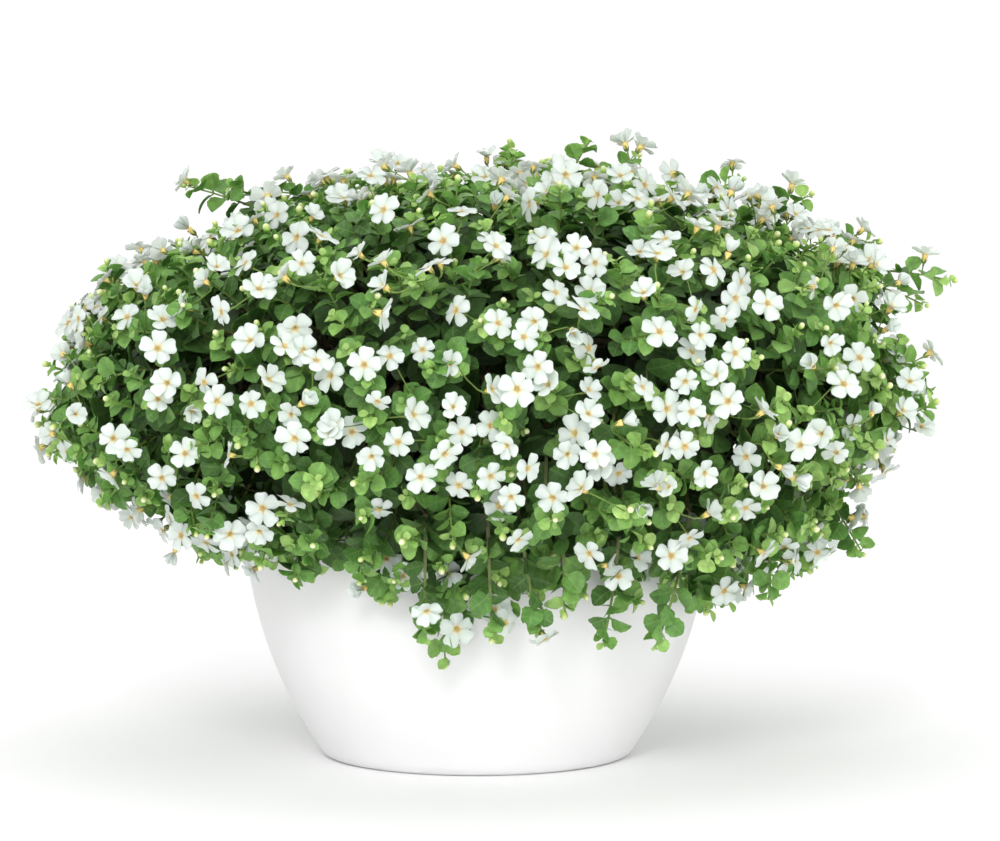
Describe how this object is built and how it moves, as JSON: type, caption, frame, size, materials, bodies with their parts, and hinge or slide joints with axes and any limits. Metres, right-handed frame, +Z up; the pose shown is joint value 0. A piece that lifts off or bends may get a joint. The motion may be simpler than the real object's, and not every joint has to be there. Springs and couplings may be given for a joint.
{
  "type": "potted bacopa",
  "caption": "Round tapered bowl pot of soil with a broad, spreading bacopa: small toothed leaves and white five-petalled blooms.",
  "frame": {"origin": "centre of the pot's flat foot, on the pot's own axis", "axes": "+Z up along the pot's axis, +X to the right as the plant is seen from its front, and the front faces -Y"},
  "size_m": [0.4906, 0.4571, 0.3289],
  "materials": {
    "pot": "gloss",
    "soil": "matte",
    "leaf": "satin",
    "petal": "matte"
  },
  "bodies": {
    "root": {"pot": "pot", "soil": "soil", "leafy_stem_01": "leaf", "leafy_stem_02": "leaf", "leafy_stem_03": "leaf", "leafy_stem_04": "leaf", "leafy_stem_05": "leaf", "leafy_stem_06": "leaf", "leafy_stem_07": "leaf", "leafy_stem_08": "leaf", "leafy_stem_09": "leaf", "leafy_stem_10": "leaf", "leafy_stem_11": "leaf", "leafy_stem_12": "leaf", "leafy_stem_13": "leaf", "leafy_stem_14": "leaf", "leafy_stem_15": "leaf", "leafy_stem_16": "leaf", "leafy_stem_17": "leaf", "leafy_stem_18": "leaf", "leafy_stem_19": "leaf", "leafy_stem_20": "leaf", "leafy_stem_21": "leaf", "leafy_stem_22": "leaf", "leafy_stem_23": "leaf", "leafy_stem_24": "leaf", "leafy_stem_25": "leaf", "leafy_stem_26": "leaf", "leafy_stem_27": "leaf", "leafy_stem_28": "leaf", "flower_spray_01": "petal", "flower_spray_02": "petal", "flower_spray_03": "petal", "flower_spray_04": "petal", "flower_spray_05": "petal", "flower_spray_06": "petal", "flower_spray_07": "petal", "flower_spray_08": "petal", "flower_spray_09": "petal", "flower_spray_10": "petal", "flower_spray_11": "petal", "flower_spray_12": "petal", "flower_spray_13": "petal", "flower_spray_14": "petal", "flower_spray_15": "petal", "flower_spray_16": "petal", "flower_spray_17": "petal", "flower_spray_18": "petal", "flower_spray_19": "petal", "flower_spray_20": "petal", "flower_spray_21": "petal", "flower_spray_22": "petal", "flower_spray_23": "petal", "flower_spray_24": "petal", "flower_spray_25": "petal", "flower_spray_26": "petal", "flower_spray_27": "petal", "flower_spray_28": "petal"}
  },
  "joints": []
}
